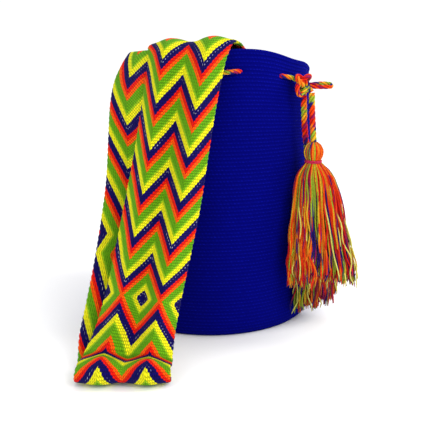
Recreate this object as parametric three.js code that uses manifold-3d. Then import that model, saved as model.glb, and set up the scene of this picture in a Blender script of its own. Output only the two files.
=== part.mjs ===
// A wayuu mochila: a crocheted bucket bag with a wide shoulder strap and a tasselled drawstring.
// Units are millimetres and +Z is up. The origin is the middle of the flat base.
// -Y is the front, where the strap hangs down, and +X is the side of the knot.
// Angles round the bag start at the front and grow towards +X.

import * as THREE from "three";
import { mergeVertices } from "three/addons/utils/BufferGeometryUtils.js";
import Module from "manifold-3d";

const wasm = await Module();
wasm.setup();

// ---------- driving dimensions ----------

const RIM_HEIGHT = 292;
const WALL = 4;
const GAP = 0.4;
const BAG_SIDES = 56;

// The rim sinks on the knot's side and on the side across from it, and where the strap pulls.
const KNOT_SIDE_DIP = { angle: 100, reach: 88, depth: 24 };
const OTHER_SIDE_DIP = { angle: -85, reach: 50, depth: 17 };
const STRAP_DIP = { angle: -35, reach: 48, depth: 12 };

// The outer wall as [height, radius], from the flat base up to the rim.
const BASE_RADIUS = 109;
const WALL_OUTLINE = [
  [2, 113.8],
  [6, 116.2],
  [14, 117.4],
  [45, 117.5],
  [80, 117.5],
  [120, 117.2],
  [155, 116],
  [190, 113.5],
  [215, 110.8],
  [238, 108],
  [256, 105.8],
  [271, 105],
  [292, 105],
];
// Above this height the rings follow the sunken rim, and the bag's axis moves over to the knot's side.
const STRAIGHT_HEIGHT = 190;
const RIM_SHIFT_X = 6;
const RIM_OUTER = 105;

// The cord that closes the bag, and the row of eyelets that it is threaded through.
const CORD_RADIUS = 2.5;
const CORD_SIDES = 8;
const CORD_STEPS = 76;
const CORD_ROW_BELOW_RIM = 21;
const KNOT_ANGLE = 52;
const EYELETS = 14;
const FIRST_EYELET_FROM_KNOT = 13.5;
const WEAVE_OFFSET = WALL / 2 + 0.5 + CORD_RADIUS;
const WEAVE_SHARPNESS = 2.4;
const KNOT_CENTRE = new THREE.Vector3(95.5, -76, 256);
const KNOT_HALF_SIZE = new THREE.Vector3(10, 8, 10);
const SIDE_LOOP_ROUTE = [
  [96, -76, 256],
  [106, -77, 257],
  [115, -78, 257.5],
  [120.5, -80, 256.8],
  [121, -83, 255],
  [115, -84, 253.8],
  [106, -82.5, 253.4],
  [96, -78, 254],
];

// The strap, cut flat, and how it lies: its width shrinks where two long ridges stand up in it.
const STRAP_WIDTH = 86;
const STRAP_THICKNESS = 4;
const STRAP_COLUMNS = 8;
const ROWS_PER_STRETCH = 2;
// Each stop along the middle of the strap: place, turn of its width (degrees), sideways fall,
// height of its ridges and how far its edges curl back round the bag.
const STRAP_STOPS = [
  { at: [-50.4, -80.6, 266], turn: -35, fall: 0.06, ridge: 0, curl: 9.9 },
  { at: [-50.4, -80.6, 275], turn: -35, fall: 0.06, ridge: 0, curl: 9.9 },
  { at: [-50.4, -80.6, 284.5], turn: -35, fall: 0.06, ridge: 0, curl: 9.9 },
  { at: [-53.1, -84.4, 290], turn: -35, fall: 0.06, ridge: 0, curl: 9.5 },
  { at: [-57.3, -88.3, 284.5], turn: -35, fall: 0.06, ridge: 0, curl: 9 },
  { at: [-60.9, -92.5, 272], turn: -32.5, fall: 0.03, ridge: 0.8, curl: 8.4 },
  { at: [-64.1, -97.5, 259], turn: -30.5, fall: 0, ridge: 1, curl: 8 },
  { at: [-64, -106.6, 235], turn: -26, fall: -0.06, ridge: 1.5, curl: 6 },
  { at: [-61.5, -118.5, 200], turn: -19, fall: -0.1, ridge: 1.8, curl: 4 },
  { at: [-61, -129.5, 163], turn: -14, fall: -0.1, ridge: 2, curl: 2.5 },
  { at: [-64.5, -142.5, 125], turn: -11, fall: -0.1, ridge: 2, curl: 1.5 },
  { at: [-69, -156, 90], turn: -8, fall: -0.09, ridge: 2, curl: 0.5 },
  { at: [-75, -171, 56], turn: -6, fall: -0.06, ridge: 2, curl: 0 },
  { at: [-80, -184, 29], turn: -4, fall: -0.03, ridge: 1.8, curl: 0 },
  { at: [-80, -192, 12.5], turn: -2, fall: 0, ridge: 1.2, curl: 0 },
  { at: [-79, -203, 4.4], turn: 0, fall: 0, ridge: 0.8, curl: 0 },
  { at: [-78, -216, 3.1], turn: 0, fall: 0, ridge: 0.6, curl: 0 },
  { at: [-77.5, -225, 6.6], turn: 0, fall: 0, ridge: 1.4, curl: 0 },
  { at: [-77.5, -226.6, 13.5], turn: 0, fall: 0, ridge: 2, curl: 0 },
  { at: [-77, -220.5, 19.5], turn: -1, fall: -0.01, ridge: 2.4, curl: 0 },
  { at: [-75, -212.6, 23], turn: -3, fall: -0.04, ridge: 3, curl: 0 },
  { at: [-72, -206, 31], turn: -5, fall: -0.08, ridge: 4.4, curl: 0 },
  { at: [-67.5, -198, 48], turn: -6, fall: -0.13, ridge: 5.4, curl: 0 },
  { at: [-60.5, -185, 78], turn: -6, fall: -0.16, ridge: 5.8, curl: 0 },
  { at: [-51.5, -169, 120], turn: -6, fall: -0.17, ridge: 5.7, curl: 0 },
  { at: [-43.5, -155, 160], turn: -6, fall: -0.17, ridge: 5.6, curl: 0.5 },
  { at: [-36.8, -141.5, 201], turn: -7, fall: -0.16, ridge: 5.6, curl: 1.5 },
  { at: [-30.5, -129.5, 243], turn: -8, fall: -0.14, ridge: 5.3, curl: 3 },
  { at: [-26, -123, 270], turn: -9, fall: -0.08, ridge: 4.8, curl: 4.5 },
  { at: [-22.8, -116, 288], turn: -9, fall: 0, ridge: 4, curl: 5 },
  { at: [-19.8, -104.5, 298.2], turn: -9, fall: 0.05, ridge: 2.4, curl: 4.5 },
  { at: [-13, -89, 298.4], turn: -10, fall: 0.04, ridge: 2.3, curl: 2 },
  { at: [-3, -62, 292.5], turn: -14, fall: 0, ridge: 2.8, curl: 0 },
  { at: [9, -27, 286], turn: -18, fall: 0, ridge: 3, curl: 0 },
  { at: [21, 11, 282], turn: -21, fall: 0, ridge: 2.8, curl: 0 },
  { at: [33, 47, 282.5], turn: -24, fall: -0.05, ridge: 2, curl: -2 },
  { at: [42, 70, 287], turn: -26, fall: -0.1, ridge: 1, curl: -6 },
  { at: [48.4, 83.2, 287], turn: -27, fall: -0.14, ridge: 0.4, curl: -8.6 },
  { at: [50.5, 87.3, 279], turn: -27, fall: -0.16, ridge: 0, curl: -9.9 },
  { at: [50.5, 87.3, 269], turn: -27, fall: -0.16, ridge: 0, curl: -9.9 },
];

// The thread that sews each strap end to the wall: a zigzag on the strap's inner face.
const THREAD_RADIUS = 0.8;
const THREAD_SIDES = 6;
const THREAD_STEPS_PER_TURN = 2;
const SEAM_TURNS = 9;
const SEAM_REACH = 19;
const SEAM_HALF_HEIGHT = 3.5;
const SEAM_RADIUS = 94.3;
const NEAR_SEAM = { angle: -35, height: 274, climb: 0.1 };
const FAR_SEAM = { angle: 153, height: 275.5, climb: 0.28 };

// Each tassel: where its cord leaves the knot, the cord's route, and the yarn's outline from the
// top of the head down. A ring is [height, middle x, middle y, half width, half thickness].
const NECK_RADIUS = 7.2;
const BINDING_RADIUS = 0.9;
const TASSEL_SIDES = 24;
const FRONT_TASSEL = {
  name: "front_tassel",
  route: [
    [102, -80.2, 249.2],
    [102.3, -81, 240],
    [103, -83, 225],
    [104, -85.6, 210],
    [104.5, -87, 200.7],
  ],
  neck: [104.6, -88.4, 181],
  turn: 0,
  rings: [
    [200.3, 104.5, -87.1, 4, 4],
    [197.5, 104.5, -87.3, 8, 8],
    [193.5, 104.5, -87.5, 10.4, 10.2],
    [189.5, 104.5, -87.8, 10.8, 10.4],
    [185.5, 104.6, -88.1, 9.6, 9.3],
    [182.8, 104.6, -88.3, 7.9, 7.9],
    [182, 104.6, -88.4, NECK_RADIUS, NECK_RADIUS],
    [180, 104.6, -88.4, NECK_RADIUS, NECK_RADIUS],
    [179.2, 104.7, -88.6, 7.9, 7.9],
    [174, 105.3, -91, 14.5, 9],
    [166, 106, -94, 20, 10],
    [153, 107, -97.5, 23.5, 10.5],
    [131, 108.4, -101, 27, 11.5],
    [110, 109.8, -104, 30, 12.5],
    [89, 111.5, -106, 32.5, 13],
    [70, 113, -108, 35, 13],
    [54, 113.6, -109, 35.5, 12],
  ],
};
const REAR_TASSEL = {
  name: "rear_tassel",
  route: [
    [94.8, -74.4, 245.8],
    [95.2, -74.2, 236],
    [96.2, -73.8, 220],
    [98, -73.3, 203],
    [101.2, -72.8, 186],
    [105.2, -72.5, 172],
    [107, -72.4, 163.1],
  ],
  neck: [107.5, -72.4, 143.4],
  turn: 40,
  rings: [
    [162.7, 107.1, -72.4, 4, 4],
    [159.9, 107.2, -72.4, 8, 8],
    [155.9, 107.3, -72.4, 10.4, 10.2],
    [151.9, 107.4, -72.4, 10.6, 10.4],
    [147.9, 107.5, -72.4, 9.6, 9.3],
    [145.2, 107.5, -72.4, 7.9, 7.9],
    [144.4, 107.5, -72.4, NECK_RADIUS, NECK_RADIUS],
    [142.4, 107.5, -72.4, NECK_RADIUS, NECK_RADIUS],
    [141.6, 107.6, -72.4, 7.9, 7.9],
    [136.4, 108.3, -72.3, 14, 8.5],
    [128.4, 110.2, -71.2, 20, 9.5],
    [115, 112, -70.3, 24, 10.5],
    [94, 113.3, -70.1, 26.5, 11],
    [73, 114.1, -70.1, 27.5, 11.5],
    [51, 114.5, -70.1, 28, 11.5],
    [32, 114.8, -70.1, 28, 11.5],
    [16, 114.8, -70.1, 28, 11],
  ],
};

// ---------- helpers ----------

const degrees = THREE.MathUtils.degToRad;

// How deep a dip is at an angle round the bag: its full depth in the middle, easing to nothing.
function dipAt(dip, angle) {
  const apart = Math.abs(((angle - dip.angle + 540) % 360) - 180);
  return apart < dip.reach ? dip.depth * Math.cos(degrees((90 * apart) / dip.reach)) ** 2 : 0;
}

function rimHeightAt(angle) {
  const dips = [KNOT_SIDE_DIP, OTHER_SIDE_DIP, STRAP_DIP];
  return dips.reduce((height, dip) => height - dipAt(dip, angle), RIM_HEIGHT);
}

// A point at an angle round the rim's own axis.
function roundRim(angle, radius, height) {
  const turn = degrees(angle);
  return new THREE.Vector3(
    RIM_SHIFT_X + radius * Math.sin(turn),
    -radius * Math.cos(turn),
    height,
  );
}

// Joins rings of points, all of one length, into a closed skin. A ring's own points are joined end
// to end, and each end of the stack is closed by a fan round its middle.
function closedLoft(rings) {
  const count = rings[0].length;
  const middles = [rings[0], rings.at(-1)].map((ring) =>
    ring.reduce((sum, p) => sum.add(p), new THREE.Vector3()).divideScalar(count),
  );
  const places = [...rings.flat(), ...middles].flatMap((p) => p.toArray());
  const bottom = places.length / 3 - 2;
  const top = bottom + 1;
  const last = (rings.length - 1) * count;
  const faces = [];
  for (let i = 0; i < count; i++) {
    const next = (i + 1) % count;
    for (let r = 0; r < last; r += count) {
      faces.push(r + i, r + next, r + count + next);
      faces.push(r + i, r + count + next, r + count + i);
    }
    faces.push(bottom, next, i);
    faces.push(top, last + i, last + next);
  }
  const skin = new THREE.BufferGeometry();
  skin.setAttribute("position", new THREE.Float32BufferAttribute(places, 3));
  skin.setIndex(faces);
  return skin;
}

// A polygon with flat sides that has the radius of a round cord.
function roundSection(radius, sides) {
  const corners = Array.from({ length: sides }, (_, i) => {
    const turn = (2 * Math.PI * i) / sides;
    return new THREE.Vector2(radius * Math.cos(turn), radius * Math.sin(turn));
  });
  return new THREE.Shape(corners);
}

function tube(points, radius, sides, steps) {
  const route = new THREE.CatmullRomCurve3(points);
  return new THREE.ExtrudeGeometry(roundSection(radius, sides), {
    steps,
    bevelEnabled: false,
    extrudePath: route,
  });
}

function toSolid(geometry) {
  const plain = geometry.clone();
  plain.deleteAttribute("normal");
  plain.deleteAttribute("uv");
  const merged = mergeVertices(plain, 1e-3);
  return new wasm.Manifold(
    new wasm.Mesh({
      numProp: 3,
      vertProperties: merged.attributes.position.array,
      triVerts: new Uint32Array(merged.index.array),
    }),
  );
}

function toGeometry(solid) {
  const mesh = solid.getMesh();
  const geometry = new THREE.BufferGeometry();
  geometry.setAttribute("position", new THREE.BufferAttribute(mesh.vertProperties, 3));
  geometry.setIndex(new THREE.BufferAttribute(mesh.triVerts, 1));
  return geometry;
}

function named(name, geometry, colour, roughness) {
  const material = new THREE.MeshStandardMaterial({ color: colour, roughness, metalness: 0 });
  const mesh = new THREE.Mesh(geometry, material);
  mesh.name = name;
  return mesh;
}

// ---------- the bucket ----------

// One ring of the wall. Rings above the straight part stretch or sink with the rim.
function wallRing(height, radius) {
  const lift = Math.max(0, (height - STRAIGHT_HEIGHT) / (RIM_HEIGHT - STRAIGHT_HEIGHT));
  const shift = RIM_SHIFT_X * THREE.MathUtils.smoothstep(lift, 0, 0.6);
  return Array.from({ length: BAG_SIDES }, (_, i) => {
    const angle = (360 * i) / BAG_SIDES;
    const turn = degrees(angle);
    return new THREE.Vector3(
      shift + radius * Math.sin(turn),
      -radius * Math.cos(turn),
      height - lift * (RIM_HEIGHT - rimHeightAt(angle)),
    );
  });
}

function bucketSkin() {
  const outer = WALL_OUTLINE.map(([height, radius]) => wallRing(height, radius));
  const inner = WALL_OUTLINE.map(([height, radius]) =>
    wallRing(Math.max(height, WALL + height / 2), radius - WALL),
  );
  return closedLoft([
    wallRing(0, BASE_RADIUS / 2),
    wallRing(0, BASE_RADIUS),
    ...outer,
    ...inner.reverse(),
    wallRing(WALL, BASE_RADIUS - WALL),
    wallRing(WALL, BASE_RADIUS / 2),
  ]);
}

// The cord's way round the rim, in and out of the eyelets, from the knot back to the knot.
function drawstringPoints() {
  const loose = 360 - 2 * FIRST_EYELET_FROM_KNOT;
  const pitch = loose / (EYELETS - 1);
  const points = [KNOT_CENTRE.clone()];
  const stops = 4 * EYELETS;
  for (let i = 0; i <= stops; i++) {
    const along = -0.3 * pitch + ((loose + 0.6 * pitch) * i) / stops;
    const angle = KNOT_ANGLE - FIRST_EYELET_FROM_KNOT - along;
    const weave = -Math.sin((Math.PI * along) / pitch) * WEAVE_SHARPNESS;
    const side = THREE.MathUtils.clamp(weave, -1, 1);
    const radius = RIM_OUTER - WALL / 2 + WEAVE_OFFSET * side;
    points.push(roundRim(angle, radius, rimHeightAt(angle) - CORD_ROW_BELOW_RIM));
  }
  points.push(KNOT_CENTRE.clone().add(new THREE.Vector3(0, 1, -1)));
  return points;
}

function drawstringTube(radius) {
  return toSolid(tube(drawstringPoints(), radius, CORD_SIDES, CORD_STEPS));
}

// The wall with a clear way cut through it wherever the cord passes.
function makeBagBody() {
  return toGeometry(toSolid(bucketSkin()).subtract(drawstringTube(CORD_RADIUS + 2 * GAP)));
}

function makeDrawstring() {
  const knot = new THREE.SphereGeometry(1, 16, 10);
  knot.scale(...KNOT_HALF_SIZE.toArray());
  knot.translate(...KNOT_CENTRE.toArray());
  const loopPoints = SIDE_LOOP_ROUTE.map((p) => new THREE.Vector3(...p));
  const sideLoop = tube(loopPoints, CORD_RADIUS * 0.8, CORD_SIDES, 20);
  return toGeometry(drawstringTube(CORD_RADIUS).add(toSolid(knot)).add(toSolid(sideLoop)));
}

// ---------- the strap ----------

const strapMiddle = new THREE.CatmullRomCurve3(STRAP_STOPS.map((s) => new THREE.Vector3(...s.at)));
const strapPose = new THREE.CatmullRomCurve3(
  STRAP_STOPS.map((s) => new THREE.Vector3(s.turn, 50 * s.fall, s.curl)),
);
const strapRidge = new THREE.CatmullRomCurve3(
  STRAP_STOPS.map((s, i) => new THREE.Vector3(s.ridge, 10 * i, 0)),
);

// The strap's middle sheet without its ridges. along and across run from 0 to 1.
function smoothStrapPoint(along, across) {
  const pose = strapPose.getPoint(along);
  const ridge = strapRidge.getPoint(along).x;
  const turn = degrees(pose.x);
  const width = Math.sqrt(STRAP_WIDTH ** 2 - 8 * (Math.PI * ridge) ** 2);
  const side = 2 * across - 1;
  const sideways = new THREE.Vector3(Math.cos(turn), Math.sin(turn), pose.y / 50);
  const inwards = new THREE.Vector3(-Math.sin(turn), Math.cos(turn), 0);
  return strapMiddle
    .getPoint(along)
    .addScaledVector(sideways, (side * width) / 2)
    .addScaledVector(inwards, pose.z * side ** 2);
}

// The strap's outer face is the one away from the bag where it runs up the front.
function strapNormal(along, across) {
  const step = 1e-3;
  const from = Math.max(0, along - step);
  const to = Math.min(1, along + step);
  const lengthways = smoothStrapPoint(to, across).sub(smoothStrapPoint(from, across));
  const left = Math.max(0, across - step);
  const right = Math.min(1, across + step);
  const crossways = smoothStrapPoint(along, right).sub(smoothStrapPoint(along, left));
  return crossways.cross(lengthways).normalize();
}

function strapPoint(along, across, offset) {
  const ridge = strapRidge.getPoint(along).x;
  const swell = -ridge * Math.cos(4 * Math.PI * across);
  return smoothStrapPoint(along, across).addScaledVector(strapNormal(along, across), swell + offset);
}

function makeStrap() {
  const rows = (STRAP_STOPS.length - 1) * ROWS_PER_STRETCH;
  const rings = [];
  for (let row = 0; row <= rows; row++) {
    const face = (offset) =>
      Array.from({ length: STRAP_COLUMNS + 1 }, (_, i) =>
        strapPoint(row / rows, i / STRAP_COLUMNS, offset),
      );
    rings.push([...face(STRAP_THICKNESS / 2), ...face(-STRAP_THICKNESS / 2).reverse()]);
  }
  return closedLoft(rings);
}

// ---------- the sewing ----------

function makeSeam(seam) {
  const stops = 2 * SEAM_TURNS;
  const points = Array.from({ length: stops + 1 }, (_, i) => {
    const aside = SEAM_REACH * ((2 * i) / stops - 1);
    const swing = i % 2 ? SEAM_HALF_HEIGHT : -SEAM_HALF_HEIGHT;
    return roundRim(seam.angle + aside, SEAM_RADIUS, seam.height + seam.climb * aside + swing);
  });
  return tube(points, THREAD_RADIUS, THREAD_SIDES, stops * THREAD_STEPS_PER_TURN);
}

// ---------- the tassels ----------

function tasselRing([height, x, y, halfWidth, halfThickness], turn) {
  const long = new THREE.Vector3(Math.cos(degrees(turn)), Math.sin(degrees(turn)), 0);
  const short = new THREE.Vector3(-long.y, long.x, 0);
  return Array.from({ length: TASSEL_SIDES }, (_, i) => {
    const angle = (2 * Math.PI * i) / TASSEL_SIDES;
    return new THREE.Vector3(x, y, height)
      .addScaledVector(long, halfWidth * Math.cos(angle))
      .addScaledVector(short, halfThickness * Math.sin(angle));
  });
}

function makeYarn(tassel) {
  const rings = tassel.rings.toReversed();
  return closedLoft(rings.map((ring) => tasselRing(ring, tassel.turn)));
}

// A ring wound round the neck, clear of the yarn by the usual gap.
function makeBinding(tassel) {
  const section = roundSection(BINDING_RADIUS, CORD_SIDES).getPoints();
  const middle = NECK_RADIUS + GAP + BINDING_RADIUS;
  const profile = section.map((p) => new THREE.Vector2(middle + p.x, p.y));
  const ring = new THREE.LatheGeometry([...profile, profile[0].clone()], TASSEL_SIDES);
  ring.rotateX(Math.PI / 2);
  ring.translate(...tassel.neck);
  return ring;
}

// The cord is drawn in to a point at the knot, so that it can swing there without touching it.
function makeTasselCord(tassel) {
  const route = new THREE.CatmullRomCurve3(tassel.route.map((p) => new THREE.Vector3(...p)));
  const steps = 4 * tassel.route.length;
  const rings = Array.from({ length: steps + 1 }, (_, i) => {
    const [x, y, z] = route.getPointAt(i / steps).toArray();
    const radius = CORD_RADIUS * Math.min(1, 0.3 + 0.7 * i);
    return tasselRing([z, x, y, radius, radius], 0);
  });
  return closedLoft(rings.map((ring) => ring.filter((_, i) => i % 3 === 0)).reverse());
}

// ---------- the whole bag ----------

const BLUE = 0x06087a;
const NAVY = 0x1a0f66;
const ORANGE = 0xe8641c;
const RED = 0xc8281a;
const MAGENTA = 0xb01464;
const YARN_ROUGHNESS = 0.9;

const group = new THREE.Group();
group.add(
  named("bag_body", makeBagBody(), BLUE, YARN_ROUGHNESS),
  named("shoulder_strap", makeStrap(), RED, YARN_ROUGHNESS),
  named("near_strap_stitching", makeSeam(NEAR_SEAM), NAVY, YARN_ROUGHNESS),
  named("far_strap_stitching", makeSeam(FAR_SEAM), NAVY, YARN_ROUGHNESS),
  named("drawstring", makeDrawstring(), ORANGE, YARN_ROUGHNESS),
);
for (const tassel of [FRONT_TASSEL, REAR_TASSEL]) {
  group.add(
    named(`${tassel.name}_cord`, makeTasselCord(tassel), ORANGE, YARN_ROUGHNESS),
    named(`${tassel.name}_yarn`, makeYarn(tassel), ORANGE, YARN_ROUGHNESS),
    named(`${tassel.name}_binding`, makeBinding(tassel), MAGENTA, YARN_ROUGHNESS),
  );
}

export default group;
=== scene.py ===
"""Looks of a wayuu mochila: crocheted bucket bag, woven shoulder strap, corded and tasselled drawstring.

Lengths in the tables are millimetres, in the part's own frame: +Z up, -Y the front, +X the knot's side.
Angles round the bag start at the front and grow towards +X. Meshes are scaled to metres as they are made.
"""

import math

import bpy
import numpy as np
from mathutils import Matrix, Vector


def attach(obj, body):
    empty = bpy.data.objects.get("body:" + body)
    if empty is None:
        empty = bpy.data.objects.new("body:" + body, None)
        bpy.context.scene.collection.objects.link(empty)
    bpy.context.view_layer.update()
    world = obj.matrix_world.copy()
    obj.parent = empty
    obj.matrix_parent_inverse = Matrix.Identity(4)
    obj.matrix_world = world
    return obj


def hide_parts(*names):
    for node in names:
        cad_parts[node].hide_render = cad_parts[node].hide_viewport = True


MM = 0.001

# ---------- the part's own dimensions ----------

RIM_HEIGHT = 292
WALL = 4
RIM_DIPS = [(100, 88, 24), (-85, 50, 17), (-35, 48, 12)]  # angle, reach, depth
WALL_OUTLINE = [
    (2, 113.8), (6, 116.2), (14, 117.4), (45, 117.5), (80, 117.5), (120, 117.2), (155, 116),
    (190, 113.5), (215, 110.8), (238, 108), (256, 105.8), (271, 105), (292, 105),
]
STRAIGHT_HEIGHT = 190
RIM_SHIFT_X = 6

# How far each stretch of cord is drawn to, at its outermost fibres.
HANGING_CORD_RADIUS = 3.2
HELD_CORD_RADIUS = 2.3
KNOT_RADIUS = 2.6
KNOT_LOOP_RADIUS = 2.2
TAIL_RADIUS = 2.7
CORD_ROW_BELOW_RIM = 21
CORD_ROW_RADIUS = 103
WEAVE_OFFSET = 5
WEAVE_SHARPNESS = 2.4
EYELETS = 14
KNOT_ANGLE = 52
FIRST_EYELET_FROM_KNOT = 13.5
KNOT_CENTRE = (95.5, -76, 256)
KNOT_TURN = KNOT_ANGLE - 14  # the way the knot faces, a little forward of straight out from the wall
KNOT_SHIFT = (-4.2, 1.0, 3.4)  # sideways, outwards and up from the knot's centre
KNOT_SPREAD = (3.2, 3.7, 3.0)  # how far the knot's curve is stretched sideways, outwards and up
# The small loop's points from the knot's centre: sideways, up and outwards.
KNOT_LOOP = [
    (-3, 3, 1), (-9, 5, 2), (-13, 1, 3), (-14, -5, 3.5), (-11, -9, 4), (-7, -6, 4.5), (-2, -1, 4),
]
# The short ends of cord that run from the knot to where each tassel cord swings.
KNOT_TAILS = {
    "front": [(91, -77.6, 256.5), (95.4, -78.6, 255.6), (99.6, -79.6, 253.2), (101.6, -80, 250)],
    "rear": [(92.4, -76, 257), (93.6, -75.6, 254), (94.6, -74.6, 250), (94.8, -74.4, 246.6)],
}
SIDE_LOOP_RADIUS = 2.0
SIDE_LOOP_ROUTE = [
    (96, -76, 256.6), (106, -77, 258), (115, -78, 258.4), (120.5, -80, 257.6),
    (121, -82.6, 255.6), (115, -83.2, 255), (106, -81, 255), (96, -77, 255.4),
]

STRAP_WIDTH = 86
STRAP_THICKNESS = 3.7
# Each stop along the middle of the strap: x, y, z, turn (degrees), sideways fall, ridge height, edge curl.
STRAP_STOPS = [
    (-50.4, -80.6, 266, -35, 0.06, 0, 9.9), (-50.4, -80.6, 275, -35, 0.06, 0, 9.9),
    (-50.4, -80.6, 284.5, -35, 0.06, 0, 9.9), (-53.1, -84.4, 290, -35, 0.06, 0, 9.5),
    (-57.3, -88.3, 284.5, -35, 0.06, 0, 9), (-60.9, -92.5, 272, -32.5, 0.03, 0.8, 8.4),
    (-64.1, -97.5, 259, -30.5, 0, 1, 8), (-64, -106.6, 235, -26, -0.06, 1.5, 6),
    (-61.5, -118.5, 200, -19, -0.1, 1.8, 4), (-61, -129.5, 163, -14, -0.1, 2, 2.5),
    (-64.5, -142.5, 125, -11, -0.1, 2, 1.5), (-69, -156, 90, -8, -0.09, 2, 0.5),
    (-75, -171, 56, -6, -0.06, 2, 0), (-80, -184, 29, -4, -0.03, 1.8, 0),
    (-80, -192, 12.5, -2, 0, 1.2, 0), (-79, -203, 4.4, 0, 0, 0.8, 0),
    (-78, -216, 3.1, 0, 0, 0.6, 0), (-77.5, -225, 6.6, 0, 0, 1.4, 0),
    (-77.5, -226.6, 13.5, 0, 0, 2, 0), (-77, -220.5, 19.5, -1, -0.01, 2.4, 0),
    (-75, -212.6, 23, -3, -0.04, 3, 0), (-72, -206, 31, -5, -0.08, 4.4, 0),
    (-67.5, -198, 48, -6, -0.13, 5.4, 0), (-60.5, -185, 78, -6, -0.16, 5.8, 0),
    (-51.5, -169, 120, -6, -0.17, 5.7, 0), (-43.5, -155, 160, -6, -0.17, 5.6, 0.5),
    (-36.8, -141.5, 201, -7, -0.16, 5.6, 1.5), (-30.5, -129.5, 243, -8, -0.14, 5.3, 3),
    (-26, -123, 270, -9, -0.08, 4.8, 4.5), (-22.8, -116, 288, -9, 0, 4, 5),
    (-19.8, -104.5, 298.2, -9, 0.05, 2.4, 4.5), (-13, -89, 298.4, -10, 0.04, 2.3, 2),
    (-3, -62, 292.5, -14, 0, 2.8, 0), (9, -27, 286, -18, 0, 3, 0),
    (21, 11, 282, -21, 0, 2.8, 0), (33, 47, 282.5, -24, -0.05, 2, -2),
    (42, 70, 287, -26, -0.1, 1, -6), (48.4, 83.2, 287, -27, -0.14, 0.4, -8.6),
    (50.5, 87.3, 279, -27, -0.16, 0, -9.9), (50.5, 87.3, 269, -27, -0.16, 0, -9.9),
]

THREAD_RADIUS = 0.8
SEAM_TURNS = 9
SEAM_REACH = 19
SEAM_HALF_HEIGHT = 3.5
SEAM_RADIUS = 94.3
SEAMS = {
    "near_strap_stitching": (-35, 274, 0.1),  # angle, height, climb
    "far_strap_stitching": (153, 275.5, 0.28),
}

# Each yarn ring: height, middle x, middle y, half width, half thickness, from the top of the head down.
TASSELS = {
    "front_tassel": {
        "route": [
            (102, -80.2, 249.2), (102.3, -81, 240), (103, -83, 225), (104, -85.6, 210), (104.5, -87, 200.7),
        ],
        "neck": (104.6, -88.4, 181),
        "turn": 0,
        "rings": [
            (200.3, 104.5, -87.1, 4, 4), (197.5, 104.5, -87.3, 8, 8), (193.5, 104.5, -87.5, 10.4, 10.2),
            (189.5, 104.5, -87.8, 10.8, 10.4), (185.5, 104.6, -88.1, 9.6, 9.3),
            (182.8, 104.6, -88.3, 7.9, 7.9), (181, 104.6, -88.4, 7.2, 7.2),
            (179.2, 104.7, -88.6, 7.9, 7.9), (174, 105.3, -91, 14.5, 9),
            (166, 106, -94, 20, 10), (153, 107, -97.5, 23.5, 10.5), (131, 108.4, -101, 27, 11.5),
            (110, 109.8, -104, 30, 12.5), (89, 111.5, -106, 32.5, 13), (70, 113, -108, 35, 13),
            (54, 113.6, -109, 35.5, 12),
        ],
        "strands": 420,
        "hanks": 34,
        "shade": 0.68,
        "spread": 1.0,
        "seed": 11,
    },
    "rear_tassel": {
        "route": [
            (94.8, -74.4, 245.8), (95.2, -74.2, 236), (96.2, -73.8, 220), (98, -73.3, 203),
            (101.2, -72.8, 186), (105.2, -72.5, 172), (107, -72.4, 163.1),
        ],
        "neck": (107.5, -72.4, 143.4),
        "turn": 40,
        "rings": [
            (162.7, 107.4, -72.4, 4, 4), (159.9, 107.4, -72.4, 8, 8), (155.9, 107.4, -72.4, 10.4, 10.2),
            (151.9, 107.4, -72.4, 10.8, 10.4), (147.9, 107.5, -72.4, 9.6, 9.3),
            (145.2, 107.5, -72.4, 7.9, 7.9), (143.4, 107.5, -72.4, 7.2, 7.2),
            (141.6, 107.6, -72.4, 7.9, 7.9), (136.4, 108.3, -72.3, 14, 8.5),
            (128.4, 110.2, -71.2, 20, 9.5), (115, 112, -70.3, 24, 10.5), (94, 113.3, -70.1, 26.5, 11),
            (73, 114.1, -70.1, 27.5, 11.5), (51, 114.5, -70.1, 28, 11.5), (32, 114.8, -70.1, 28, 11.5),
            (16, 114.8, -70.1, 28, 11),
        ],
        "strands": 330,
        "hanks": 28,
        # The rear tassel's yarn is drawn darker than the front one's: painted shade.
        "shade": 0.54,
        "spread": 1.12,
        "seed": 23,
    },
}

# ---------- what the finish adds ----------

CROCHET_ROW = 3.75  # height of one crocheted round
RINGS_PER_ROW = 4
BAG_COLUMNS = 220
STITCHES_ROUND = 200
ROW_RELIEF = 0.19

# Where the drawn cord bunches the rim: angle, width (degrees) and lift.
RIM_GATHERS = [
    (24, 8, 0.4), (46, 9, -1.0), (66, 10, 2.0), (86, 11, 2.2),
    (118, 12, -2.0), (150, 14, 1.5), (-70, 12, -1.5),
]
RIM_PINCH = (88, 22, 3.0)  # angle, width and how far the wall is drawn in
GATHERS_FROM = 235  # the height where gathers and pinch begin
GATHERS_OVER = 45  # how much higher they are at their full size
EYELET_WIDTH = 4.2
EYELET_HEIGHT = 2.8

STRAP_COLUMNS = 56
STRAP_ROW_STEP = 1.35
PATTERN_PERIOD = 42.3  # length of one repeat of the strap's colours
PATTERN_RIBS = 16  # ribs of yarn in one repeat
PLIES_ACROSS = 44  # turns of ply across the strap
EYE_OFFSET = 2.8  # how deep into the navy an eye's centre lies

# Where the zigzags turn back and close up into a row of eyes, and how round and deep the eyes are.
EYES_AT = 445.5
EYE_DEPTH = 4.2
EYE_RADIUS = 7.0
EYE_FLOOR = 1.9  # the nearest an eye's middle comes to the repeat's start, before which all is red
# How far the colour repeat has climbed at each length along the strap from its near end.
# It is nothing at the row of eyes, and turns back once on the strap's back layer.
PATTERN_CLIMB = [
    (0, 404), (56.7, 356), (106.7, 313.7), (149.9, 271.4), (191.7, 229.1), (214.7, 206.2), (233.6, 219.5),
    (352, 133), (378.5, 106.2), (388.5, 87.2), (393.5, 56.2), (398.5, 52.7), (413, 38.7), (445.5, 0),
    (478, 39.5), (496, 57.7), (536.2, 100), (577.7, 142.3), (622.3, 184.7), (666.3, 226.9), (916, 476),
]
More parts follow.
